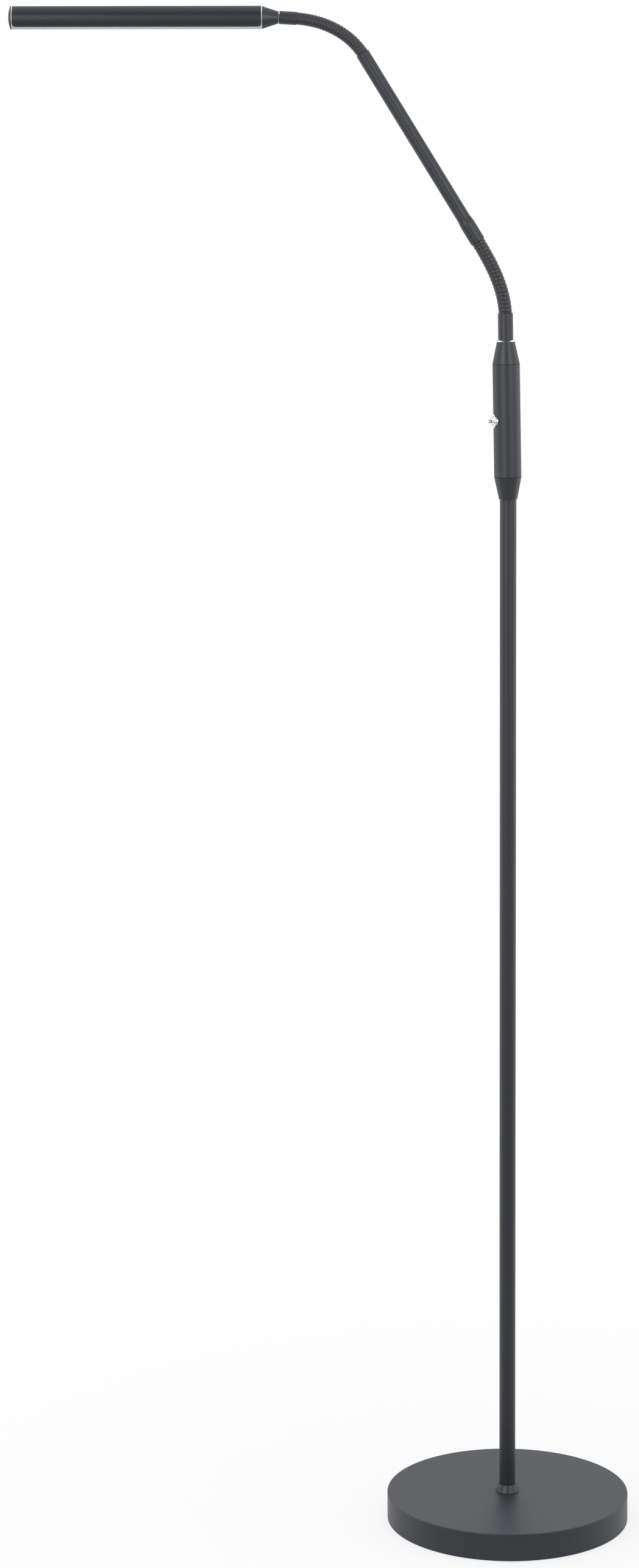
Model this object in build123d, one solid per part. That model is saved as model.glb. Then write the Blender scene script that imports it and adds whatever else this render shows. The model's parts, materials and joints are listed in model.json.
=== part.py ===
from build123d import *
from math import radians
import os

# A gooseneck reading floor lamp: a weighted disc base, a straight pole, a grip
# with a toggle switch, a flexible neck, a straight arm tube, a second flexible
# neck and a tubular LED head that lies level.
#
# Millimetres, +Z up. The origin is the centre of the base on the floor. The
# head reaches towards -X, and -Y is the front. A "lean" is an angle in degrees
# from +Z towards -X.

# ---------------------------------------------------------------- base
base_radius = 125.0
base_top = 29.1
cover_wall = 1.5
cover_edge_round = 1.0
cover_foot = 0.8
cover_hole = 5.4
pad_radius = 123.2
pad_thickness = 3.0
weight_radius = 122.0
weight_bore = 5.6
nut_pocket_radius = 20.0
nut_pocket_roof = 17.0
relief_inner = 30.0
relief_outer = 95.0
relief_roof = 13.0
cord_channel_width = 18.0
cord_channel_roof = 20.0
grommet_height = 11.0
grommet_radius = 5.4
grommet_flange = 7.0
grommet_inner_flange = 6.6
grommet_face = 1.6
grommet_groove = 1.8
grommet_bore = 3.3
thread_radius = 5.0
thread_hole = 5.05
stud_bore = 3.0
stud_bottom = 6.5
stud_top = 47.0
washer_radius = 14.0
washer_bore = 5.3
washer_thickness = 2.0
nut_across_flats = 17.0
nut_height = 8.0

# ---------------------------------------------------------------- pole
pole_radius = 8.25
pole_bore = 6.8
plug_radius = 6.75
foot_plug_height = 21.0
adaptor_plug = 20.0
adaptor_nose = 11.0
lead_radius = 2.0
collar_foot_radius = 12.35
collar_top_radius = 8.95
collar_height = 8.5
collar_bore = 8.35
collar_lip = 0.6

# ---------------------------------------------------------------- grip
grip_foot = 1064.9
column_lean = 0.9
cone_height = 21.9
cone_foot_radius = 9.15
cone_foot_chamfer = 0.2
cone_top_radius = 8.9
grip_radius = 13.55
grip_bore = 12.5
grip_length = 112.2
seam_gap = 0.15
seam_chamfer = 0.3
spigot_radius = 12.4
spigot_bore = 10.9
spigot_depth = 7.0
web_thickness = 4.0
web_drop = 0.8
upper_web = 3.0
nose_clearance = 0.55
pole_clearance = 0.45
pole_depth_in_cone = 20.7
lead_bore = 2.6
driver_from = 10.0
driver_to = 12.0
cradle_radius = 12.3
cradle_bore = 10.2
cradle_back = 1.0
board_back = 4.0
board_front = 5.6
board_half = 10.2
board_slack = 0.1
transformer_size = (2.8, 10.0, 14.0)
transformer_at = 30.0
choke_size = (3.4, 8.0, 8.0)
choke_at = 52.0
capacitor_radius = 2.4
capacitor_tall = 2.6
capacitor_spread = 3.2
capacitor_at = 16.0

# ---------------------------------------------------------------- switch
switch_height = 78.0
switch_turn = 195.0
bushing_radius = 3.0
bushing_bore = 2.0
bushing_end = 15.6
bushing_fit = 0.05
switch_back = -2.0
switch_front = 9.0
switch_width = 8.0
switch_tall = 13.0
lock_nut_flats = 9.0
lock_nut_height = 1.8
dress_foot_radius = 7.0
dress_top_radius = 3.0
dress_end = 16.7
dress_mouth = 2.45
dress_throat = 1.7
dress_skirt = 3.0
lever_pivot = 12.0
lever_ball = 2.0
lever_ball_at = 18.2
lever_stem = 0.9
lever_pivot_ball = 1.9
lever_tail = 9.2
lever_tail_radius = 0.8

# ---------------------------------------------------------------- necks
# Each neck is cut into short lengths of winding. Each length ends in a ball
# that sits in the socket of the next one, so the neck can bend at every gap.
mouth_gap = 0.8
neck_bore = 2.0
socket_clearance = 0.10

lower_ferrule_radius = 7.45
lower_ferrule_length = 26.6
ferrule_foot_chamfer = 0.3
ferrule_mouth_chamfer = 0.5
ferrule_ring_radius = 8.55
ferrule_ring_height = 1.3
ferrule_ring_bore = 5.2
nipple_down = 16.0
nipple_up = 8.5
press_fit = 0.05

lower_lengths = 9
lower_pitch = 8.27
lower_crest = 6.75
lower_valley = 5.95
lower_ball = 5.5
lower_half_gap = 0.75
lower_total_bend = 31.65 - column_lean
lower_taper = 0.77

upper_lengths = 11
upper_pitch = 6.63
upper_crest = 6.0
upper_valley = 5.25
upper_ball = 4.8
upper_half_gap = 0.65
upper_total_bend = 86.3 - 31.65
upper_taper = 0.29

turns_per_length = 2
flank = 0.6
ball_rise = 0.40
socket_depth = 0.635

# ---------------------------------------------------------------- arm
sleeve_radius = 7.4
sleeve_length = 25.2
sleeve_foot_chamfer = 0.4
sleeve_taper = 5.0
sleeve_lip = 0.2
arm_radius = 6.65
arm_bore = 5.5
arm_seat = 9.0
arm_visible = 189.3
root_length = 17.0
arm_lead_radius = 1.5
arm_lead_from = 4.5

# ---------------------------------------------------------------- head
upper_ferrule_radius = 6.3
upper_ferrule_length = 17.2
swivel_seat = 9.5
swivel_seat_radius = 4.3
head_lean = 89.65
swivel_stem = 3.5
swivel_bore = 2.0
bolt_tail = 7.5
bolt_head_radius = 4.6
bolt_head_height = 1.5
swivel_ring_radius = 5.8
swivel_ring_from = 0.42
swivel_ring_to = 0.95
head_cone_from = 1.0
head_cone_length = 15.6
head_cone_small = 5.9
head_cone_large = 10.95
head_cone_cavity = 8.0
head_cone_throat = 5.6
head_spigot = 7.5
head_web_end = 6.2
tube_radius = 11.25
shell_wall = 0.8
shell_length = 242.0
shell_lower_edge = 8.83
shell_corner = 3.0
diffuser_radius = 10.4
diffuser_bore = 9.6
diffuser_land = 11.15
diffuser_ring = 0.95
sink_radius = 9.4
sink_flat = 1.5
sink_inset = 0.5
cap_spigot = 5.0
board_thickness = 1.2
board_half_width = 7.0
board_inset = 2.0
chip_count = 24
chip_spacing = 9.2
chip_size = (0.7, 2.8, 3.5)
cap_radius = 11.05
cap_ring = 1.3
dome_radius = 10.4
dome_height = 2.0


# ---------------------------------------------------------------- helpers
def turned(*profile):
    """A solid of revolution about Z, from its (radius, height) points."""
    outline = Polyline(*[(r, 0, z) for r, z in profile], close=True)
    return revolve(make_face(outline), Axis.Z)


def tube(outer, inner, low, high):
    """A straight tube along Z."""
    return turned((inner, low), (outer, low), (outer, high), (inner, high))


def rod(radius, low, high):
    """A straight round bar along Z."""
    return Pos(0, 0, low) * Cylinder(radius, high - low, align=BOTTOM)


def block(low, high):
    """A box from its lowest to its highest corner."""
    size = [b - a for a, b in zip(low, high)]
    return Pos(*low) * Box(*size, align=(Align.MIN, Align.MIN, Align.MIN))


def save(name, shape):
    """Write one sub-part to its own file."""
    export_step(shape, f"parts/{name}.step")


BOTTOM = (Align.CENTER, Align.CENTER, Align.MIN)
os.makedirs("parts", exist_ok=True)


# ---------------------------------------------------------------- base parts
def make_base():
    """Everything from the floor up to the base's top face."""
    # Foam pad on the floor, inside the cover's rim.
    save("floor_pad", rod(pad_radius, 0, pad_thickness))

    # Pressed-steel cover: a shallow cup, upside down.
    cover = rod(base_radius, cover_foot, base_top)
    cover = fillet(cover.edges().group_by(Axis.Z)[-1], cover_edge_round)
    cover -= rod(base_radius - cover_wall, 0, base_top - cover_wall)
    cover -= rod(cover_hole, 0, base_top + 1)
    at_back = Pos(0, base_radius, grommet_height) * Rot(90, 0, 0)
    cover -= at_back * Cylinder(grommet_radius + 0.1, 10)
    save("base_cover", cover)

    # Cast-iron weight, relieved underneath for the nut and for the cord.
    roof = base_top - cover_wall
    weight = rod(weight_radius, pad_thickness, roof)
    weight -= rod(weight_bore, 0, roof + 1)
    weight -= rod(nut_pocket_radius, 0, nut_pocket_roof)
    weight -= tube(relief_outer, relief_inner, 0, relief_roof)
    half = cord_channel_width / 2
    weight -= block((-half, 0, 0), (half, weight_radius + 1, cord_channel_roof))
    save("base_weight", weight)

    # Washer and nut that pull the stud down onto the weight.
    washer_foot = nut_pocket_roof - washer_thickness
    save("base_washer", tube(washer_radius, washer_bore, washer_foot, nut_pocket_roof))
    nut_shape = RegularPolygon(nut_across_flats / 2, 6, major_radius=False)
    nut = Pos(0, 0, washer_foot - nut_height) * extrude(nut_shape, nut_height)
    save("base_nut", nut - rod(thread_hole, 0, washer_foot + 1))

    # Hollow threaded stud from the nut up into the pole.
    save("pole_foot_stud", tube(thread_radius, stud_bore, stud_bottom, stud_top))

    # Rubber grommet in the back wall, where the supply cord comes in.
    groove_low = cover_wall - grommet_groove + seam_gap
    groove_high = cover_wall + 2 * seam_gap
    ring = turned(
        (grommet_bore, -grommet_face),
        (grommet_flange, -grommet_face),
        (grommet_flange, groove_low),
        (grommet_radius, groove_low),
        (grommet_radius, groove_high),
        (grommet_inner_flange, groove_high),
        (grommet_inner_flange, 2 * cover_wall),
        (grommet_bore, 2 * cover_wall),
    )
    save("cord_grommet", at_back * ring)


# ---------------------------------------------------------------- pole parts
def make_pole():
    """The pole, its flared collar and its end fittings."""
    collar = turned(
        (collar_bore, base_top),
        (collar_foot_radius, base_top),
        (collar_foot_radius, base_top + collar_lip),
        (collar_top_radius, base_top + collar_height - collar_lip),
        (collar_top_radius, base_top + collar_height),
        (collar_bore, base_top + collar_height),
    )
    save("foot_collar", collar)

    pole_top = grip_foot + pole_depth_in_cone
    save("pole_tube", tube(pole_radius, pole_bore, base_top, pole_top))
    save("pole_foot_plug", tube(plug_radius, thread_hole, base_top, base_top + foot_plug_height))

    # Turned adaptor: a plug in the pole's top with a threaded nose that holds the grip.
    nose_top = pole_top + adaptor_nose
    adaptor = turned(
        (lead_bore, pole_top - adaptor_plug),
        (plug_radius, pole_top - adaptor_plug),
        (plug_radius, pole_top),
        (thread_radius, pole_top),
        (thread_radius, nose_top),
        (lead_bore, nose_top),
    )
    save("pole_top_adaptor", adaptor)

    # The supply lead where it runs straight up the pole.
    save("pole_lead", rod(lead_radius, stud_bottom + 2, nose_top - 1))


# ---------------------------------------------------------------- grip parts
grip = Location((0, 0, grip_foot), (0, -column_lean, 0))
body_low = cone_height
body_high = cone_height + grip_length
grip_top = body_high + cone_height


def make_grip():
    """The grip: a tube between two cones, with the driver inside."""
    mouth = pole_radius + pole_clearance
    web_low = body_low - web_drop
    web_high = web_low + web_thickness
    nose_hole = thread_radius + nose_clearance
    lower_cone = turned(
        (mouth, 0),
        (cone_foot_radius - cone_foot_chamfer, 0),
        (cone_foot_radius, cone_foot_chamfer),
        (grip_radius, body_low),
        (spigot_radius, body_low),
        (spigot_radius, body_low + spigot_depth),
        (spigot_bore, body_low + spigot_depth),
        (spigot_bore, web_high),
        (nose_hole, web_high),
        (nose_hole, web_low),
        (mouth, web_low),
    )
    save("handle_lower_cone", grip * lower_cone)

    low = body_low + seam_gap
    high = body_high - seam_gap
    body = turned(
        (grip_bore, low),
        (grip_radius - seam_chamfer, low),
        (grip_radius, low + seam_chamfer),
        (grip_radius, high - seam_chamfer),
        (grip_radius - seam_chamfer, high),
        (grip_bore, high),
    )
    body -= switch_axis() * rod(bushing_radius + 2 * bushing_fit, 0, 2 * grip_radius)
    save("handle_body", grip * body)

    upper_cone = turned(
        (spigot_bore, body_high - spigot_depth),
        (spigot_radius, body_high - spigot_depth),
        (spigot_radius, body_high),
        (grip_radius, body_high),
        (cone_top_radius, grip_top),
        (thread_hole, grip_top),
        (thread_hole, body_high - upper_web),
        (spigot_bore, body_high - upper_web),
    )
    save("handle_upper_cone", grip * upper_cone)


def make_driver():
    """The LED driver: a board held in the slots of a half-round cradle."""
    low = body_low + driver_from
    high = body_high - driver_to
    half = board_half + board_slack
    cradle = tube(cradle_radius, cradle_bore, low, high)
    cradle &= block((cradle_back, -grip_bore, low), (grip_bore, grip_bore, high))
    slot_low = (board_back - board_slack, -half, low)
    slot_high = (board_front + board_slack, half, high)
    save("driver_cradle", grip * (cradle - block(slot_low, slot_high)))

    board = block((board_back, -board_half, low), (board_front, board_half, high))
    save("driver_board", grip * board)

    pieces = []
    for (tall, wide, long), at in ((transformer_size, transformer_at), (choke_size, choke_at)):
        foot = (board_front, -wide / 2, low + at)
        pieces.append(block(foot, (board_front + tall, wide / 2, low + at + long)))
    for side in (-1, 1):
        place = Pos(board_front, side * capacitor_spread, low + capacitor_at) * Rot(0, 90, 0)
        pieces.append(place * rod(capacitor_radius, 0, capacitor_tall))
    save("driver_components", grip * Compound(pieces))


def switch_axis():
    """The switch's own frame: its Z points straight out of the grip."""
    return Pos(0, 0, switch_height) * Rot(0, 0, switch_turn) * Rot(0, 90, 0)


def make_switch():
    """A small three-position toggle switch with a conical dress nut."""
    out = grip * switch_axis()

    half_tall = switch_tall / 2
    half_wide = switch_width / 2
    case = block((-half_tall, -half_wide, switch_back), (half_tall, half_wide, switch_front))
    case += rod(bushing_radius, switch_front, bushing_end)
    case -= rod(bushing_bore, switch_front - 2, bushing_end + 1)
    save("switch_body", out * case)

    hexagon = RegularPolygon(lock_nut_flats / 2, 6, major_radius=False)
    lock_nut = Pos(0, 0, switch_front) * extrude(hexagon, lock_nut_height)
    save("switch_lock_nut", out * (lock_nut - rod(bushing_radius + bushing_fit, 0, dress_end)))

    # The nut's foot is saddle-shaped, so it sits on the round grip.
    foot = grip_radius + bushing_fit
    dress_nut = turned(
        (bushing_radius + bushing_fit, foot - dress_skirt),
        (dress_foot_radius, foot - dress_skirt),
        (dress_foot_radius, foot + seam_chamfer),
        (dress_top_radius, dress_end),
        (dress_mouth, dress_end),
        (dress_throat, bushing_end),
        (bushing_radius + bushing_fit, bushing_end),
    )
    along_grip = switch_axis().inverse() * rod(foot, 0, 2 * switch_height)
    save("switch_dress_nut", out * (dress_nut - along_grip))

    lever = Pos(0, 0, lever_pivot) * Sphere(lever_pivot_ball)
    lever += rod(lever_tail_radius, lever_tail, lever_pivot)
    lever += rod(lever_stem, lever_pivot, lever_ball_at)
    lever += Pos(0, 0, lever_ball_at) * Sphere(lever_ball)
    save("toggle_lever", out * lever)


# ---------------------------------------------------------------- neck parts
def neck_bends(lengths, total, taper):
    """The bend at each gap: it falls evenly from the foot of the neck to its end."""
    gaps = lengths + 1
    mean = total / gaps
    return [mean * (1 + taper * (1 - 2 * k / lengths)) for k in range(gaps)]


def neck_frames(start, pitch, bends):
    """The frame of each piece after a gap, with its origin at that gap's centre."""
    frames = []
    here = start
    for bend in bends:
        here = here * Rot(0, -bend, 0)
        frames.append(here)
        here = here * Pos(0, 0, pitch)
    return frames


def socket(ball):
    """The space that a ball of the winding turns in, centred on the gap."""
    room = Sphere(ball + socket_clearance)
    return room & rod(ball + 1, -ball, socket_depth * ball)


def ball_end(ball, centre, foot):
    """The ball that ends a length of winding, cut flat on top."""
    top = centre + ball_rise * ball
    return (Pos(0, 0, centre) * Sphere(ball)) & rod(ball + 1, foot, top)


def neck_length(pitch, crest, valley, ball, half_gap):
    """One length of winding: its turns, a socket below and a ball above."""
    turn = pitch / turns_per_length
    profile = [(neck_bore, half_gap)]
    for k in range(turns_per_length):
        low = k * turn + half_gap
        high = (k + 1) * turn - half_gap
        profile += [(valley, low), (crest, low + flank), (crest, high - flank), (valley, high)]
    profile.append((neck_bore, pitch - half_gap))
    length = turned(*profile) + ball_end(ball, pitch, pitch - half_gap - 0.5)
    length -= socket(ball)
    return length - rod(neck_bore, 0, 2 * pitch)


def neck_root(radius, ball, half_gap):
    """The winding's first stretch, held in a tube whose mouth is at height 0."""
    face = mouth_gap - half_gap
    root = rod(radius, -root_length + face, face)
    root += ball_end(ball, mouth_gap, -1)
    return root - rod(neck_bore, -root_length - 1, 10)


ring_top = grip_top + ferrule_ring_height
lower_mouth = grip * Pos(0, 0, ring_top + lower_ferrule_length)
lower_bends = neck_bends(lower_lengths, lower_total_bend, lower_taper)
lower_frames = neck_frames(lower_mouth * Pos(0, 0, mouth_gap), lower_pitch, lower_bends)


def make_lower_neck():
    """The ferrule on the grip and the flexible neck above it."""
    nipple = tube(thread_radius, lead_bore, grip_top - nipple_down, ring_top + nipple_up)
    save("neck_nipple", grip * nipple)
    save("ferrule_ring", grip * tube(ferrule_ring_radius, ferrule_ring_bore, grip_top, ring_top))

    root_foot = lower_ferrule_length - root_length + mouth_gap - lower_half_gap
    seat = lower_valley + press_fit
    floor = root_foot - 2 * press_fit
    ferrule = turned(
        (thread_hole + press_fit, 0),
        (lower_ferrule_radius - ferrule_foot_chamfer, 0),
        (lower_ferrule_radius, ferrule_foot_chamfer),
        (lower_ferrule_radius, lower_ferrule_length - ferrule_mouth_chamfer),
        (lower_ferrule_radius - ferrule_mouth_chamfer, lower_ferrule_length),
        (seat, lower_ferrule_length),
        (seat, floor),
        (thread_hole + press_fit, floor),
    )
    save("lower_ferrule", grip * Pos(0, 0, ring_top) * ferrule)
    save("lower_neck_root", lower_mouth * neck_root(lower_valley, lower_ball, lower_half_gap))

    length = neck_length(lower_pitch, lower_crest, lower_valley, lower_ball, lower_half_gap)
    for k in range(lower_lengths):
        save(f"lower_neck_{k + 1}", lower_frames[k] * length)


# ---------------------------------------------------------------- arm parts
arm = lower_frames[-1]
sleeve_end = mouth_gap + sleeve_length
arm_end = sleeve_end + arm_visible
upper_mouth = arm * Pos(0, 0, arm_end)
upper_bends = neck_bends(upper_lengths, upper_total_bend, upper_taper)
upper_frames = neck_frames(upper_mouth * Pos(0, 0, mouth_gap), upper_pitch, upper_bends)


def make_arm():
    """The joint sleeve, the straight arm tube and the second neck."""
    sleeve = turned(
        (neck_bore, mouth_gap),
        (sleeve_radius - sleeve_foot_chamfer, mouth_gap),
        (sleeve_radius, mouth_gap + sleeve_foot_chamfer),
        (sleeve_radius, sleeve_end - sleeve_taper),
        (arm_radius + sleeve_lip, sleeve_end),
        (arm_radius + press_fit, sleeve_end),
        (arm_radius + press_fit, arm_seat),
        (neck_bore, arm_seat),
    )
    save("joint_sleeve", arm * (sleeve - socket(lower_ball)))
    save("arm_tube", arm * tube(arm_radius, arm_bore, arm_seat, arm_end))
    save("arm_lead", arm * rod(arm_lead_radius, arm_lead_from, arm_end - 1))
    root = neck_root(arm_bore - press_fit, upper_ball, upper_half_gap)
    save("upper_neck_root", upper_mouth * root)

    length = neck_length(upper_pitch, upper_crest, upper_valley, upper_ball, upper_half_gap)
    for k in range(upper_lengths):
        save(f"upper_neck_{k + 1}", upper_frames[k] * length)


# ---------------------------------------------------------------- head parts
head_mount = upper_frames[-1]
ferrule_end = mouth_gap + upper_ferrule_length
ferrule_lean = column_lean + lower_total_bend + upper_total_bend
head = head_mount * Pos(0, 0, ferrule_end) * Rot(0, ferrule_lean - head_lean, 0)
cone_end = head_cone_from + head_cone_length
shell_from = cone_end + diffuser_ring
shell_to = shell_from + shell_length
diffuser_to = shell_to + diffuser_ring


def make_swivel():
    """The upper ferrule and the hollow bolt that the head turns on."""
    ferrule = turned(
        (neck_bore, mouth_gap),
        (upper_ferrule_radius - ferrule_foot_chamfer, mouth_gap),
        (upper_ferrule_radius, mouth_gap + ferrule_foot_chamfer),
        (upper_ferrule_radius, ferrule_end - ferrule_foot_chamfer),
        (upper_ferrule_radius - ferrule_foot_chamfer, ferrule_end),
        (swivel_seat_radius, ferrule_end),
        (swivel_seat_radius, swivel_seat),
        (neck_bore, swivel_seat),
    )
    save("upper_ferrule", head_mount * (ferrule - socket(upper_ball)))

    ring = tube(swivel_ring_radius, swivel_stem + press_fit, swivel_ring_from, swivel_ring_to)
    save("swivel_ring", head * ring)

    under_head = head_web_end + 2 * press_fit
    bolt_end = under_head + bolt_head_height
    bolt = turned(
        (swivel_bore, -bolt_tail),
        (swivel_stem, -bolt_tail),
        (swivel_stem, under_head),
        (bolt_head_radius, under_head),
        (bolt_head_radius, bolt_end),
        (swivel_bore, bolt_end),
    )
    save("swivel_bolt", head * bolt)


def side_profile(grow):
    """The shell's outline from the side, larger by grow: level, with round lower corners."""
    long = shell_length + 2 * grow
    tall = shell_lower_edge + 2 * tube_radius + grow
    middle = (2 * tube_radius - shell_lower_edge - grow) / 2
    outline = Pos(middle, (shell_from + shell_to) / 2) * Rectangle(tall, long)
    lower_corners = outline.vertices().group_by(Axis.X)[0]
    outline = fillet(lower_corners, shell_corner + grow)
    upright = Plane(origin=(0, 0, 0), x_dir=(1, 0, 0), z_dir=(0, -1, 0))
    return extrude(upright * outline, amount=2 * tube_radius, both=True)


def make_head():
    """The cone, the opal diffuser, the metal shell round it and the end cap."""
    spigot = diffuser_bore - 2 * press_fit
    cone = turned(
        (swivel_stem + press_fit, head_cone_from),
        (head_cone_small, head_cone_from),
        (head_cone_large, cone_end),
        (spigot, cone_end),
        (spigot, cone_end + head_spigot),
        (head_cone_cavity, cone_end + head_spigot),
        (head_cone_cavity, cone_end),
        (head_cone_throat, head_web_end),
        (swivel_stem + press_fit, head_web_end),
    )
    save("head_cone", head * cone)

    shell = tube(tube_radius, tube_radius - shell_wall, shell_from, shell_to)
    save("head_shell", head * (shell & side_profile(0)))

    # The diffuser is a whole tube. Its raised land fills the shell's open side,
    # and shows as a thin ring at both ends.
    land = tube(diffuser_land, diffuser_radius - 0.2, cone_end, diffuser_to)
    diffuser = land - side_profile(0.1)
    diffuser += tube(diffuser_radius, diffuser_bore, cone_end, diffuser_to)
    save("diffuser", head * diffuser)

    cap_low = diffuser_to
    cap = tube(spigot, head_cone_cavity, cap_low - cap_spigot, cap_low)
    cap += rod(cap_radius, cap_low, cap_low + cap_ring)
    dome_ball = (dome_radius**2 + dome_height**2) / (2 * dome_height)
    dome = Pos(0, 0, cap_low + cap_ring + dome_height - dome_ball) * Sphere(dome_ball)
    cap += dome & rod(dome_radius, cap_low + cap_ring, cap_low + cap_ring + dome_height)
    save("end_cap", head * cap)


def make_light():
    """The heat sink bar, the LED board under it and the LEDs."""
    low = cone_end + head_spigot + sink_inset
    high = diffuser_to - cap_spigot - sink_inset
    sink = rod(sink_radius, low, high)
    sink &= block((sink_flat, -sink_radius, low), (sink_radius, sink_radius, high))
    save("heat_sink", head * sink)

    board_face = sink_flat - board_thickness
    board_low = (board_face, -board_half_width, low + board_inset)
    board_high = (sink_flat, board_half_width, high - board_inset)
    save("led_board", head * block(board_low, board_high))

    middle = (low + high) / 2
    first = middle - chip_spacing * (chip_count - 1) / 2
    thick, wide, long = chip_size
    chips = []
    for k in range(chip_count):
        at = first + k * chip_spacing
        foot = (board_face - thick, -wide / 2, at - long / 2)
        chips.append(block(foot, (board_face, wide / 2, at + long / 2)))
    save("led_chips", head * Compound(chips))


make_base()
make_pole()
make_grip()
make_driver()
make_switch()
make_lower_neck()
make_arm()
make_swivel()
make_head()
make_light()

# The least gap between two turns of a neck, across the groove on the inside of
# the sharpest bend.
for name, half_gap, valley, bends in (
    ("lower", lower_half_gap, lower_valley, lower_bends),
    ("upper", upper_half_gap, upper_valley, upper_bends),
):
    closed = valley * radians(max(bends))
    print(f"{name} neck: least gap between turns at rest {2 * half_gap - closed:.2f} mm")
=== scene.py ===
import bpy
import json
import math
from mathutils import Matrix, Vector


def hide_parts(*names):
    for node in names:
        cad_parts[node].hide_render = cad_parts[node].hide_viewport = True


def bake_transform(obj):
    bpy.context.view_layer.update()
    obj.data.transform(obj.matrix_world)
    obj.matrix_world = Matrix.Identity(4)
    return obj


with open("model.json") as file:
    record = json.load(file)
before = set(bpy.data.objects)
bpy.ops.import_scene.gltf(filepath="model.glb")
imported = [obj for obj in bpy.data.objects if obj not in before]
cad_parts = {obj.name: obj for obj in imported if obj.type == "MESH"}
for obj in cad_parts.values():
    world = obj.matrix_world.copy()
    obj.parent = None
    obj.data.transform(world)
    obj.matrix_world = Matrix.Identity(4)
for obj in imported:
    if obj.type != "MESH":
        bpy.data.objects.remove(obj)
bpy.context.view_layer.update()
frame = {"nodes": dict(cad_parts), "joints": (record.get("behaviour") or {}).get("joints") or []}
parts = frame["nodes"]

# ------------------------------------------------------------------ weight and floor pad
# Inside the base lies a sand-cast iron disc. A die-cut sheet of closed-cell
# foam is glued under it, so that the lamp stands on the foam and not on metal.


def srgb(hex_colour):
    """A '#rrggbb' colour as the linear RGBA that a shader socket takes."""
    shares = [int(hex_colour[k:k + 2], 16) / 255 for k in (1, 3, 5)]
    return (*[s / 12.92 if s <= 0.04045 else ((s + 0.055) / 1.055) ** 2.4 for s in shares], 1)


def add(tree, kind, feeds=(), **settings):
    """A node with its settings. Feeds gives each input a value or the output that drives it."""
    node = tree.nodes.new(kind)
    for name, value in settings.items():
        setattr(node, name, value)
    for socket, source in dict(feeds).items():
        if isinstance(source, bpy.types.NodeSocket):
            tree.links.new(source, node.inputs[socket])
        else:
            node.inputs[socket].default_value = source
    return node


# Below the first share of the noise a surface has its dark colour, above the second its light one.
grain_lowest = 0.32
grain_highest = 0.68


def finish(name, dark, light, grain_mm, rough, bump_mm=0.0, stretch=(1, 1, 1), rough_swing=0.06, **sockets):
    """A surface mottled between two colours, with grains of a real size that also stand up as bump."""
    material = bpy.data.materials.new(name)
    material.use_nodes = True
    tree = material.node_tree
    shader = tree.nodes["Principled BSDF"]
    where = add(tree, "ShaderNodeTexCoord").outputs["Object"]
    grid = add(tree, "ShaderNodeMapping", {"Vector": where, "Scale": stretch}).outputs[0]
    grain = add(tree, "ShaderNodeTexNoise", {"Vector": grid, "Scale": 1000 / grain_mm, "Detail": 3.0,
                                             "Roughness": 0.55}).outputs["Fac"]
    ramp = add(tree, "ShaderNodeValToRGB", {"Fac": grain})
    first, last = ramp.color_ramp.elements
    first.position, first.color = grain_lowest, srgb(dark)
    last.position, last.color = grain_highest, srgb(light)
    tree.links.new(ramp.outputs["Color"], shader.inputs["Base Color"])
    gloss = add(tree, "ShaderNodeMapRange", {"Value": grain, "To Min": rough - rough_swing,
                                             "To Max": rough + rough_swing}).outputs[0]
    tree.links.new(gloss, shader.inputs["Roughness"])
    if bump_mm:
        relief = add(tree, "ShaderNodeBump", {"Height": grain, "Strength": 1.0, "Distance": bump_mm / 1000})
        tree.links.new(relief.outputs[0], shader.inputs["Normal"])
    for socket, value in sockets.items():
        shader.inputs[socket.replace("_", " ")].default_value = value
    return material


def dress(material, slot, *names):
    """Give CAD pieces their finish. The slot argument is not used."""
    for name in names:
        skin = parts[name].data.materials
        skin.clear()
        skin.append(material)


# Grey iron as it leaves the sand: dull, with the mould's grains about 0.8 mm across.
cast_iron = finish("sand_cast_iron", "#2B2927", "#4A4643", grain_mm=0.8, rough=0.72, bump_mm=0.2,
                   Metallic=0.6)
# Cross-linked polyethylene foam: matt black, its cut cells about 0.5 mm.
foam = finish("closed_cell_foam", "#0E0E0F", "#232325", grain_mm=0.5, rough=0.9, bump_mm=0.12,
              Specular_IOR_Level=0.3)
dress(cast_iron, "iron", "base_weight")
dress(foam, "foam", "floor_pad")

# ------------------------------------------------------------------ base cover and pole
# The cover is a shallow cup drawn from 1.5 mm steel sheet, the pole a welded
# steel tube, and the collar between them a turned ring, all powder-coated.


# The mottle is drawn coarser than the coat's own specks, near 0.3 mm, so that it shows from a step away.
coat_mottle_mm = 1.3
coat_grain_mm = 0.45
coat_relief_mm = 0.035
speck_spacing_mm = 15.0
speck_radius_mm = 0.3


def powder_coat(name, dark, light, rough=0.47):
    """Fine-texture polyester powder, baked on: a satin skin of small low grains with a few pale specks."""
    coat = finish(name, dark, light, coat_mottle_mm, rough, rough_swing=0.05, IOR=1.53)
    tree = coat.node_tree
    shader = tree.nodes["Principled BSDF"]
    where = add(tree, "ShaderNodeTexCoord").outputs["Object"]
    grains = add(tree, "ShaderNodeTexNoise", {"Vector": where, "Scale": 1000 / coat_grain_mm,
                                              "Detail": 2.0})
    relief = add(tree, "ShaderNodeBump", {"Height": grains.outputs["Fac"], "Strength": 1.0,
                                          "Distance": coat_relief_mm / 1000})
    tree.links.new(relief.outputs[0], shader.inputs["Normal"])
    spots = add(tree, "ShaderNodeTexVoronoi", {"Vector": where, "Scale": 1000 / speck_spacing_mm})
    near = add(tree, "ShaderNodeMath", {0: spots.outputs["Distance"],
                                        1: speck_radius_mm / speck_spacing_mm}, operation="LESS_THAN")
    plain = shader.inputs["Base Color"].links[0].from_socket
    specked = add(tree, "ShaderNodeMix", {"Factor": near.outputs[0], "A": plain, "B": srgb("#8C8D90")},
                  data_type="RGBA")
    tree.links.new(specked.outputs["Result"], shader.inputs["Base Color"])
    return coat


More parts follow.
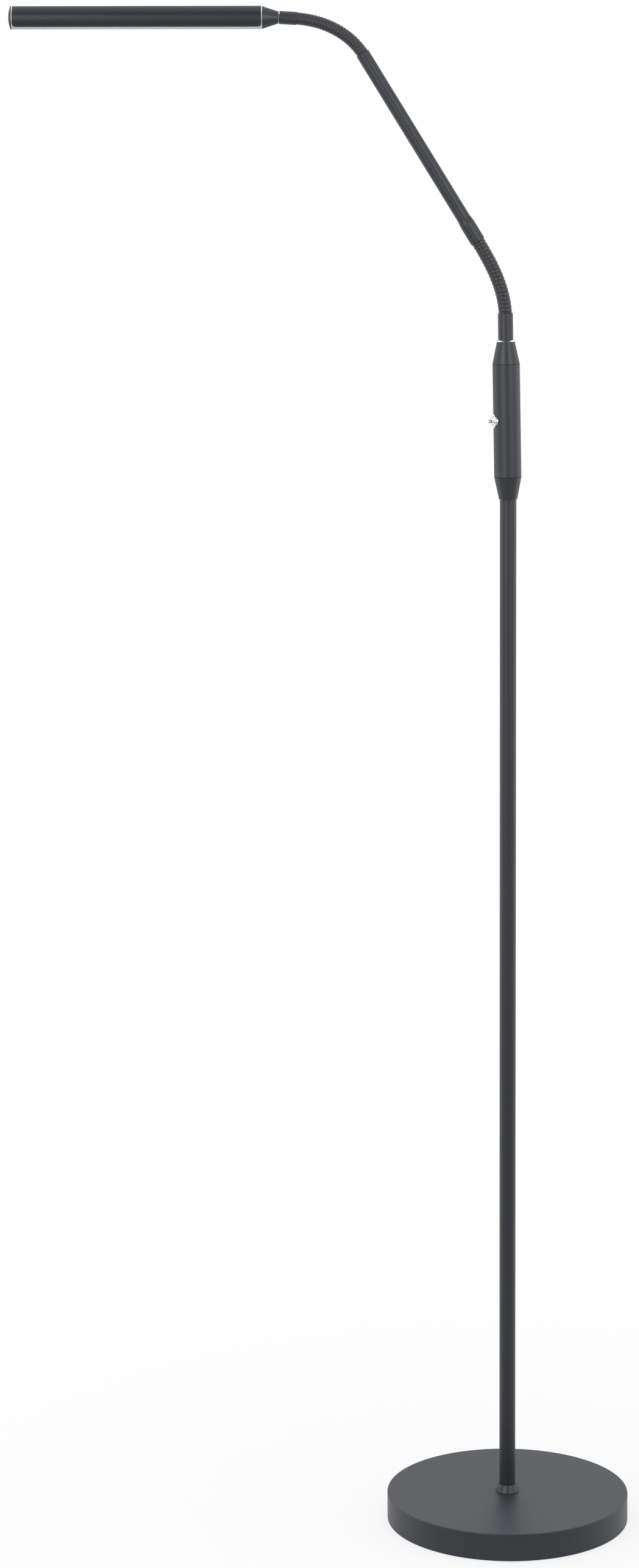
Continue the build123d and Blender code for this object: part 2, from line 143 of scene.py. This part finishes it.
grey_coat = powder_coat("powder_coat_grey", "#232730", "#2C313B")
dark_coat = powder_coat("powder_coat_dark", "#23262D", "#2C2F37")
dress(grey_coat, "powder_grey", "base_cover", "pole_tube")
dress(dark_coat, "powder_dark", "foot_collar")

# Turning marks run round the upright pieces: the grain is long across the axis and short along it.
turned = (0.3, 0.3, 3)
# Bright zinc plate on turned steel: a grey metal with faint turning marks.
zinc = finish("zinc_plated_steel", "#8F9296", "#B4B7BA", grain_mm=0.6, rough=0.34, bump_mm=0.01,
              stretch=turned, Metallic=1.0)
# Free-cutting brass, turned and left bare.
brass = finish("turned_brass", "#A8863F", "#C7A75B", grain_mm=0.5, rough=0.28, bump_mm=0.01,
               stretch=turned, Metallic=1.0)
# EPDM rubber, moulded: matt black with a slight bloom.
rubber = finish("moulded_rubber", "#141415", "#222223", grain_mm=0.7, rough=0.66, bump_mm=0.03)
# Soft PVC sheath of the supply lead, extruded, so its marks run along it.
sheath = finish("pvc_sheath", "#161617", "#232324", grain_mm=0.8, rough=0.42, bump_mm=0.02,
                stretch=(1, 1, 0.1))
dress(zinc, "steel", "base_washer", "base_nut", "pole_foot_stud", "pole_foot_plug")
dress(brass, "brass", "pole_top_adaptor")
dress(rubber, "rubber", "cord_grommet")
dress(sheath, "lead", "pole_lead", "arm_lead")

# ------------------------------------------------------------------ grip and driver
# The grip is a powder-coated steel tube between two turned cones. The LED
# driver sits in it, in the slots of a moulded nylon cradle.
dress(grey_coat, "powder_grey", "handle_body")
dress(dark_coat, "powder_dark", "handle_lower_cone", "handle_upper_cone")

# Natural nylon 6, moulded: milky, with a faint flow mottle.
nylon = finish("natural_nylon", "#CFCDC2", "#E2E0D6", grain_mm=4.0, rough=0.45, Subsurface_Weight=0.2)
# Glass-epoxy board under green solder resist: tracks show as a slight relief.
resist = finish("green_solder_resist", "#0F4A24", "#1C6635", grain_mm=1.6, rough=0.3, bump_mm=0.04,
                stretch=(1, 3, 0.5))
# Moulded epoxy and shrink sleeve of the parts on the board.
moulded = finish("moulded_component", "#17171A", "#2A2A2E", grain_mm=0.6, rough=0.5, bump_mm=0.02)
dress(nylon, "nylon", "driver_cradle")
dress(resist, "board", "driver_board")
dress(moulded, "component", "driver_components", "switch_body")

# ------------------------------------------------------------------ toggle switch
# A small toggle switch looks out of the grip's side: a conical dress nut and a
# lever with a ball end, both polished and chrome-plated.

# Bright chrome over nickel: a mirror with the least haze of hand polishing.
chrome = finish("bright_chrome", "#D9DBDD", "#E6E8EA", grain_mm=2.0, rough=0.08, rough_swing=0.03,
                Metallic=1.0)
dress(chrome, "chrome", "switch_dress_nut", "toggle_lever")
dress(zinc, "steel", "switch_lock_nut")

# ------------------------------------------------------------------ foot of the lower neck
# A bright washer ring and a turned, coated ferrule sit on the upper cone. A
# hollow nipple inside holds both, and the neck's first turns are pressed in.
dress(chrome, "chrome", "ferrule_ring")
dress(dark_coat, "powder_dark", "lower_ferrule")
dress(zinc, "steel", "neck_nipple")

# ------------------------------------------------------------------ lower flexible neck
# A broad half-round steel wire and a narrow brass filler that wedges into its
# groove, wound left-handed and blackened together. The neck stays as it is bent.


def neck_tree():
    """A stretch of winding along a bent path, closed at both ends."""
    tree = bpy.data.node_groups.new("flexible_neck", "GeometryNodeTree")
    tree.is_modifier = True
    sizes = (("Start", "Vector"), ("Bend point", "Vector"), ("End", "Vector"), ("Wound before", "Float"),
             ("Pitch", "Float"), ("Crest radius", "Float"), ("Groove depth", "Float"), ("Rows", "Int"),
             ("Columns", "Int"), ("Material", "Material"))
    for name, kind in sizes:
        tree.interface.new_socket(name, in_out="INPUT", socket_type="NodeSocket" + kind)
    tree.interface.new_socket("Geometry", in_out="OUTPUT", socket_type="NodeSocketGeometry")
    size = add(tree, "NodeGroupInput").outputs

    # The path: straight at both ends, with the bend spread smoothly between them.
    path = add(tree, "GeometryNodeCurveQuadraticBezier", {
        "Start": size["Start"], "Middle": size["Bend point"], "End": size["End"], "Resolution": 64})
    path = add(tree, "GeometryNodeResampleCurve", {"Curve": path.outputs[0], "Count": size["Rows"]})
    path = add(tree, "GeometryNodeSetCurveNormal", {"Curve": path.outputs[0]}, mode="Z_UP")
    on_path = add(tree, "GeometryNodeCaptureAttribute", {"Geometry": path.outputs[0]})
    on_path.capture_items.new("FLOAT", "along")
    on_path.capture_items.new("VECTOR", "centre")
    along = add(tree, "GeometryNodeSplineParameter").outputs["Length"]
    tree.links.new(along, on_path.inputs["along"])
    tree.links.new(add(tree, "GeometryNodeInputPosition").outputs[0], on_path.inputs["centre"])

    # The section: a ring whose points know how far round they are.
    ring = add(tree, "GeometryNodeCurvePrimitiveCircle", {
        "Resolution": size["Columns"], "Radius": size["Crest radius"]})
    on_ring = add(tree, "GeometryNodeCaptureAttribute", {"Geometry": ring.outputs[0]})
    on_ring.capture_items.new("FLOAT", "around")
    around = add(tree, "GeometryNodeSplineParameter").outputs["Factor"]
    tree.links.new(around, on_ring.inputs["around"])
    skin = add(tree, "GeometryNodeCurveToMesh", {
        "Curve": on_path.outputs[0], "Profile Curve": on_ring.outputs[0], "Fill Caps": True})

    # The winding: one pitch holds the broad wire, a groove, the filler and a groove.
    wound = add(tree, "ShaderNodeMath", {0: size["Wound before"], 1: on_path.outputs["along"]})
    turns = add(tree, "ShaderNodeMath", {0: wound.outputs[0], 1: size["Pitch"]}, operation="DIVIDE")
    phase = add(tree, "ShaderNodeMath", {0: turns.outputs[0], 1: on_ring.outputs["around"]},
                operation=left_handed)
    phase = add(tree, "ShaderNodeMath", {0: phase.outputs[0]}, operation="FRACT")
    section = add(tree, "ShaderNodeFloatCurve", {"Value": phase.outputs[0]})
    line = section.mapping.curves[0]
    line.points[0].location, line.points[1].location = wire_section[0], wire_section[-1]
    for point in wire_section[1:-1]:
        line.points.new(*point)
    for point in line.points:
        point.handle_type = "VECTOR" if point.location[1] == 0 else "AUTO_CLAMPED"
    section.mapping.update()
    below = add(tree, "ShaderNodeMath", {0: section.outputs[0], 1: 1.0}, operation="SUBTRACT")
    radius = add(tree, "ShaderNodeMath", {
        0: below.outputs[0], 1: size["Groove depth"], 2: size["Crest radius"]}, operation="MULTIPLY_ADD")
    place = add(tree, "GeometryNodeInputPosition")
    out = add(tree, "ShaderNodeVectorMath", {
        0: place.outputs[0], 1: on_path.outputs["centre"]}, operation="SUBTRACT")
    out = add(tree, "ShaderNodeVectorMath", {0: out.outputs[0]}, operation="NORMALIZE")
    spot = add(tree, "ShaderNodeVectorMath", {
        0: out.outputs[0], 1: radius.outputs[0], 2: on_path.outputs["centre"]}, operation="MULTIPLY_ADD")
    skin = add(tree, "GeometryNodeStoreNamedAttribute", {
        "Geometry": skin.outputs[0], "Name": "crown", "Value": section.outputs[0]}, data_type="FLOAT")
    skin = add(tree, "GeometryNodeSetPosition", {"Geometry": skin.outputs[0], "Position": spot.outputs[0]})

    # The two end faces stay flat, so that their edge doesn't darken the turns beside it.
    corners = add(tree, "GeometryNodeInputMeshFaceNeighbors").outputs["Vertex Count"]
    is_end = add(tree, "FunctionNodeCompare", {2: corners, 3: 4}, data_type="INT", operation="GREATER_THAN")
    skin = add(tree, "GeometryNodeSetShadeSmooth", {
        "Geometry": skin.outputs[0], "Selection": is_end.outputs[0], "Shade Smooth": False})
    skin = add(tree, "GeometryNodeRealizeInstances", {"Geometry": skin.outputs[0]})
    skin = add(tree, "GeometryNodeSetMaterial", {"Geometry": skin.outputs[0], "Material": size["Material"]})
    add(tree, "NodeGroupOutput", {"Geometry": skin.outputs[0]})
    return tree


def wind_neck(name, gaps, mouth, seat, pitch_mm, crest_mm, groove_mm, row_mm, columns):
    """The neck between two rigid pieces: one stretch of winding over each gap, bent at that gap's joint."""
    knots = [Vector(gap["pos_m"]) for gap in gaps]
    ends = [mouth] + [(a + b) / 2 for a, b in zip(knots, knots[1:])] + [seat]
    wound = 0.0
    for k, gap in enumerate(gaps):
        start, knot, end = ends[k], knots[k], ends[k + 1]
        length = (knot - start).length + (end - knot).length
        body = bpy.data.objects.new(f"{name}_winding_{k + 1}", bpy.data.meshes.new(name))
        bpy.context.collection.objects.link(body)
        shaper = body.modifiers.new("winding", "NODES")
        shaper.node_group = neck_shape
        values = {"Start": start, "Bend point": knot, "End": end, "Wound before": wound,
                  "Pitch": pitch_mm / 1000, "Crest radius": crest_mm / 1000,
                  "Groove depth": groove_mm / 1000, "Rows": round(length * 1000 / row_mm),
                  "Columns": columns, "Material": black_finish}
        for item in neck_shape.interface.items_tree:
            if item.in_out == "INPUT":
                shaper[item.identifier] = values[item.name]
        graph = bpy.context.evaluated_depsgraph_get()
        mesh = bpy.data.meshes.new_from_object(body.evaluated_get(graph), depsgraph=graph)
        body.modifiers.clear()
        body.data = mesh
        mesh.name = body.name
        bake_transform(body)
        if gap["child"].endswith("_body"):
            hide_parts(gap["child"].removesuffix("_body"))
        wound += length


def chain(prefix):
    """The joints of one neck, from its foot to its end."""
    return [joint for joint in frame["joints"] if joint["name"].startswith(prefix)]


# Blackened and oiled wire: near-black. The grooves are darkened towards near-black with painted shade, and
# each wire's crown keeps the wire's own colour.
black_finish = finish("black_finished_wire", "#29292F", "#35353D", grain_mm=0.9, rough=0.48,
                      bump_mm=0.012, IOR=1.62)
tree = black_finish.node_tree
crown = add(tree, "ShaderNodeAttribute", attribute_name="crown").outputs["Fac"]
# Painted shade: below this share of the groove's depth the wire darkens towards near-black.
shade_below = 0.6
unshaded = add(tree, "ShaderNodeMapRange", {"Value": crown, "From Max": shade_below}).outputs[0]
wire_colour_in = tree.nodes["Principled BSDF"].inputs["Base Color"]
groove_shade = add(tree, "ShaderNodeMix", {"Factor": unshaded, "A": srgb("#0A0A0B"), "B": wire_colour_in.links[0].from_socket},
           data_type="RGBA")
tree.links.new(groove_shade.outputs["Result"], wire_colour_in)
# Height of the winding over one pitch, as (share of the pitch, share of the groove's depth).
broad_wire = ((0, 0), (0.03, 0.5), (0.08, 0.84), (0.17, 0.97), (0.31, 1), (0.45, 0.97), (0.54, 0.84),
              (0.59, 0.5), (0.62, 0))
filler_wire = ((0.65, 0.38), (0.71, 0.66), (0.81, 0.75), (0.91, 0.66), (0.97, 0.38), (1, 0))
wire_section = broad_wire + filler_wire
# A turn that climbs while it goes clockwise, seen from above, is left-handed.
left_handed = "ADD"
neck_shape = neck_tree()
# The necks leave the ferrule and the arm tube square to their ends, 0.8 mm from the nearest hinges.
mouth_gap = 0.0008
column_lean = math.radians(0.9)
lower_gaps = chain("lower_neck")
upper_gaps = chain("upper_neck")
foot_way = Vector((-math.sin(column_lean), 0, math.cos(column_lean)))
arm_way = (Vector(upper_gaps[0]["pos_m"]) - Vector(lower_gaps[-1]["pos_m"])).normalized()
dress(black_finish, "neck_black", "lower_neck_root")
wind_neck("lower_neck", lower_gaps, Vector(lower_gaps[0]["pos_m"]) - mouth_gap * foot_way,
          Vector(lower_gaps[-1]["pos_m"]) + mouth_gap * arm_way,
          pitch_mm=3.96, crest_mm=6.75, groove_mm=0.95, row_mm=0.14, columns=64)

# ------------------------------------------------------------------ joint sleeve and arm
# A turned sleeve grips the end of the lower neck and the straight arm tube,
# which is coated steel tube like the pole, 13.3 mm across.
dress(grey_coat, "powder_grey", "arm_tube")
dress(dark_coat, "powder_dark", "joint_sleeve")

# ------------------------------------------------------------------ upper flexible neck
# The same winding in thinner wire. It carries only the head, so it is slimmer
# and its turns are closer.
dress(black_finish, "neck_black", "upper_neck_root")
head_foot = Vector(next(joint["pos_m"] for joint in frame["joints"] if joint["name"] == "head_roll"))
head_way = (head_foot - Vector(upper_gaps[-1]["pos_m"])).normalized()
wind_neck("upper_neck", upper_gaps, Vector(upper_gaps[0]["pos_m"]) - mouth_gap * arm_way,
          Vector(upper_gaps[-1]["pos_m"]) + mouth_gap * head_way,
          pitch_mm=3.27, crest_mm=6.0, groove_mm=0.8, row_mm=0.12, columns=56)

# ------------------------------------------------------------------ swivel
# The neck ends in a turned ferrule. The head turns on a hollow bolt in it, with
# a thin steel washer between the two.
dress(dark_coat, "powder_dark", "upper_ferrule")
dress(zinc, "steel", "swivel_ring", "swivel_bolt")

# ------------------------------------------------------------------ head
# A turned cone and cap close a coated aluminium tube that is open along its
# underside. An opal tube fills the opening and shows as a thin ring at each end.

# The same powder, a shade darker and bluer, and a little smoother. The darker shade is painted shade, set
# against the stronger light that the head gets from the overhead lamp.
head_shaded_coat = powder_coat("powder_coat_head_shaded", "#181B24", "#20242E", rough=0.42)
dress(head_shaded_coat, "powder_grey", "head_shell")
dress(dark_coat, "powder_dark", "head_cone", "end_cap")

# Opal polycarbonate, extruded: cool white, satin, with light spreading in the wall.
opal = finish("opal_polycarbonate", "#E8ECF0", "#F0F4F7", grain_mm=6.0, rough=0.35,
              Subsurface_Weight=0.2, IOR=1.58)
dress(opal, "opal", "diffuser")

# Extruded aluminium bar, white-coated aluminium board and phosphor-filled LEDs.
extrusion = finish("extruded_aluminium", "#A9ABAE", "#C2C4C6", grain_mm=0.8, rough=0.38, bump_mm=0.015,
                   stretch=(0.1, 1, 1), Metallic=1.0)
white_mask = finish("white_solder_mask", "#D9DAD8", "#E8E9E7", grain_mm=3.0, rough=0.4)
phosphor = finish("led_phosphor", "#D8B83C", "#E9CE5A", grain_mm=0.8, rough=0.35, Subsurface_Weight=0.1)
dress(extrusion, "aluminium", "heat_sink")
dress(white_mask, "board_white", "led_board")
dress(phosphor, "led", "led_chips")

# ------------------------------------------------------------------ studio
# A white backdrop with a dimmer room in front of it, and one large lamp overhead. Two
# upright softboxes beside the camera draw the streaks on the tubes, and two panels at
# the sides brighten the tubes' edges.


def softbox(name, place, aim, size_m, power_w, streak):
    """A rectangular studio lamp that faces its aim. It lights the object or else only mirrors in it."""
    lamp = bpy.data.objects.new(name, bpy.data.lights.new(name, "AREA"))
    lamp.data.shape = "RECTANGLE"
    lamp.data.size, lamp.data.size_y = size_m
    lamp.data.energy = power_w
    lamp.location = place
    lamp.rotation_euler = (Vector(aim) - Vector(place)).to_track_quat("-Z", "Y").to_euler()
    lamp.visible_diffuse = not streak
    lamp.visible_glossy = streak
    bpy.context.collection.objects.link(lamp)


# The backdrop stands behind the object and comes round on both sides. Reflections show it fade into
# the room between two cosines of the angle from straight behind.
backdrop_way = (0.0, 1.0, 0.0)
room_from = -0.75
backdrop_from = -0.25
room_tone = 0.1
room_light = 0.6
world = bpy.data.worlds.new("studio")
bpy.context.scene.world = world
world.use_nodes = True
room = world.node_tree
rays = add(room, "ShaderNodeLightPath").outputs
toward = add(room, "ShaderNodeTexCoord").outputs["Generated"]
angle = add(room, "ShaderNodeVectorMath", {0: toward, 1: backdrop_way}, operation="DOT_PRODUCT")
wall = add(room, "ShaderNodeMapRange", {"Value": angle.outputs["Value"], "From Min": room_from,
                                        "From Max": backdrop_from, "To Min": room_tone})
other = add(room, "ShaderNodeMix", {"Factor": rays["Is Glossy Ray"], "A": room_light, "B": wall.outputs[0]})
seen = add(room, "ShaderNodeMath", {0: rays["Is Camera Ray"], 1: rays["Is Transmission Ray"]},
           operation="MAXIMUM")
strength = add(room, "ShaderNodeMix", {"Factor": seen.outputs[0], "A": other.outputs[0], "B": 1.0})
background = room.nodes["Background"]
background.inputs["Color"].default_value = (1, 1, 1, 1)
room.links.new(strength.outputs[0], background.inputs["Strength"])

half = 15.0
corners = [(-half, -half, 0), (half, -half, 0), (half, half, 0), (-half, half, 0)]
floor_mesh = bpy.data.meshes.new("floor")
floor_mesh.from_pydata(corners, [], [(0, 1, 2, 3)])
floor = bpy.data.objects.new("floor", floor_mesh)
bpy.context.collection.objects.link(floor)

# White paper. Looked at or mirrored it is nearly white and keeps the object's shadow near the base,
# and it lights the object from below as a slightly greyer sheet.
shadow_near = 0.1
shadow_far = 0.9
shadow_share = 0.75
# Mirrored, the paper dims just in front of the base and pales again towards the camera: a painted shade,
# seen only in reflections.
dim_tone = 0.4
front_tone = 0.7
behind_from = -0.02
dim_to = -0.3
dim_from = -0.4
front_to = -1.6
paper = bpy.data.materials.new("white_paper")
paper.use_nodes = True
sheet = paper.node_tree
sheet.nodes.clear()
rays = add(sheet, "ShaderNodeLightPath").outputs
shown = add(sheet, "ShaderNodeMath", {0: rays["Is Camera Ray"], 1: rays["Is Glossy Ray"]},
            operation="MAXIMUM")
shown = add(sheet, "ShaderNodeMath", {0: shown.outputs[0], 1: rays["Is Transmission Ray"]},
            operation="MAXIMUM").outputs[0]
tone = add(sheet, "ShaderNodeMix", {"Factor": shown, "A": srgb("#DADADA"), "B": srgb("#FAFAFA")},
           data_type="RGBA")
lit = add(sheet, "ShaderNodeBsdfDiffuse", {"Color": tone.outputs["Result"]})
spot = add(sheet, "ShaderNodeTexCoord").outputs["Object"]
depth = add(sheet, "ShaderNodeSeparateXYZ", {"Vector": spot}).outputs["Y"]
back = add(sheet, "ShaderNodeMapRange", {"Value": depth, "From Min": dim_to, "From Max": behind_from,
                                         "To Min": dim_tone})
front = add(sheet, "ShaderNodeMapRange", {"Value": depth, "From Min": front_to, "From Max": dim_from,
                                          "To Min": front_tone, "To Max": dim_tone})
paler = add(sheet, "ShaderNodeMath", {0: back.outputs[0], 1: front.outputs[0]}, operation="MAXIMUM")
level = add(sheet, "ShaderNodeMix", {"Factor": rays["Is Glossy Ray"], "A": 1.0, "B": paler.outputs[0]})
glow = add(sheet, "ShaderNodeEmission", {"Color": (1, 1, 1, 1), "Strength": level.outputs[0]})
far = add(sheet, "ShaderNodeVectorMath", {0: spot}, operation="LENGTH").outputs["Value"]
white = add(sheet, "ShaderNodeMapRange", {"Value": far, "From Min": shadow_near, "From Max": shadow_far,
                                          "To Min": shadow_share})
share = add(sheet, "ShaderNodeMath", {0: shown, 1: white.outputs[0]}, operation="MULTIPLY")
mixed = add(sheet, "ShaderNodeMixShader", {0: share.outputs[0], 1: lit.outputs[0], 2: glow.outputs[0]})
add(sheet, "ShaderNodeOutputMaterial", {"Surface": mixed.outputs[0]})
floor_mesh.materials.append(paper)

neck_height = (-0.1, 0, 1.5)
pole_middle = (0, 0, 1.0)
softbox("overhead", (-0.2, -0.4, 3.4), (-0.1, 0, 0), size_m=(2.4, 2.4), power_w=40, streak=False)
softbox("left_streak", (-1.65, -2.7, 1.85), neck_height, size_m=(0.5, 0.9), power_w=50, streak=True)
softbox("right_streak", (1.75, -2.35, 1.85), neck_height, size_m=(0.5, 0.9), power_w=36, streak=True)
softbox("left_panel", (-2.2, 0.5, 1.0), pole_middle, size_m=(1.6, 2.4), power_w=10, streak=True)
softbox("right_panel", (2.2, 0.5, 1.0), pole_middle, size_m=(1.6, 2.4), power_w=14, streak=True)

# ------------------------------------------------------------------ camera
# The photograph's viewpoint: 3.6 m in front at head height, looking 9.7 degrees
# down, with the least roll.
camera_place = (-0.189985, -3.632733, 1.402428)
camera_down = math.radians(9.7445)
camera_roll = math.radians(-0.4572)
focal_px = 6000
frame_tall_px = 2576
camera = bpy.data.objects.new("camera", bpy.data.cameras.new("camera"))
camera.data.sensor_width = 36.0
camera.data.lens = camera.data.sensor_width * focal_px / frame_tall_px
camera.data.clip_end = 100.0
camera.matrix_world = (Matrix.Translation(camera_place)
                       @ Matrix.Rotation(math.pi / 2 - camera_down, 4, "X")
                       @ Matrix.Rotation(camera_roll, 4, "Z"))
bpy.context.collection.objects.link(camera)
bpy.context.scene.camera = camera
bpy.context.scene.view_settings.view_transform = "Standard"
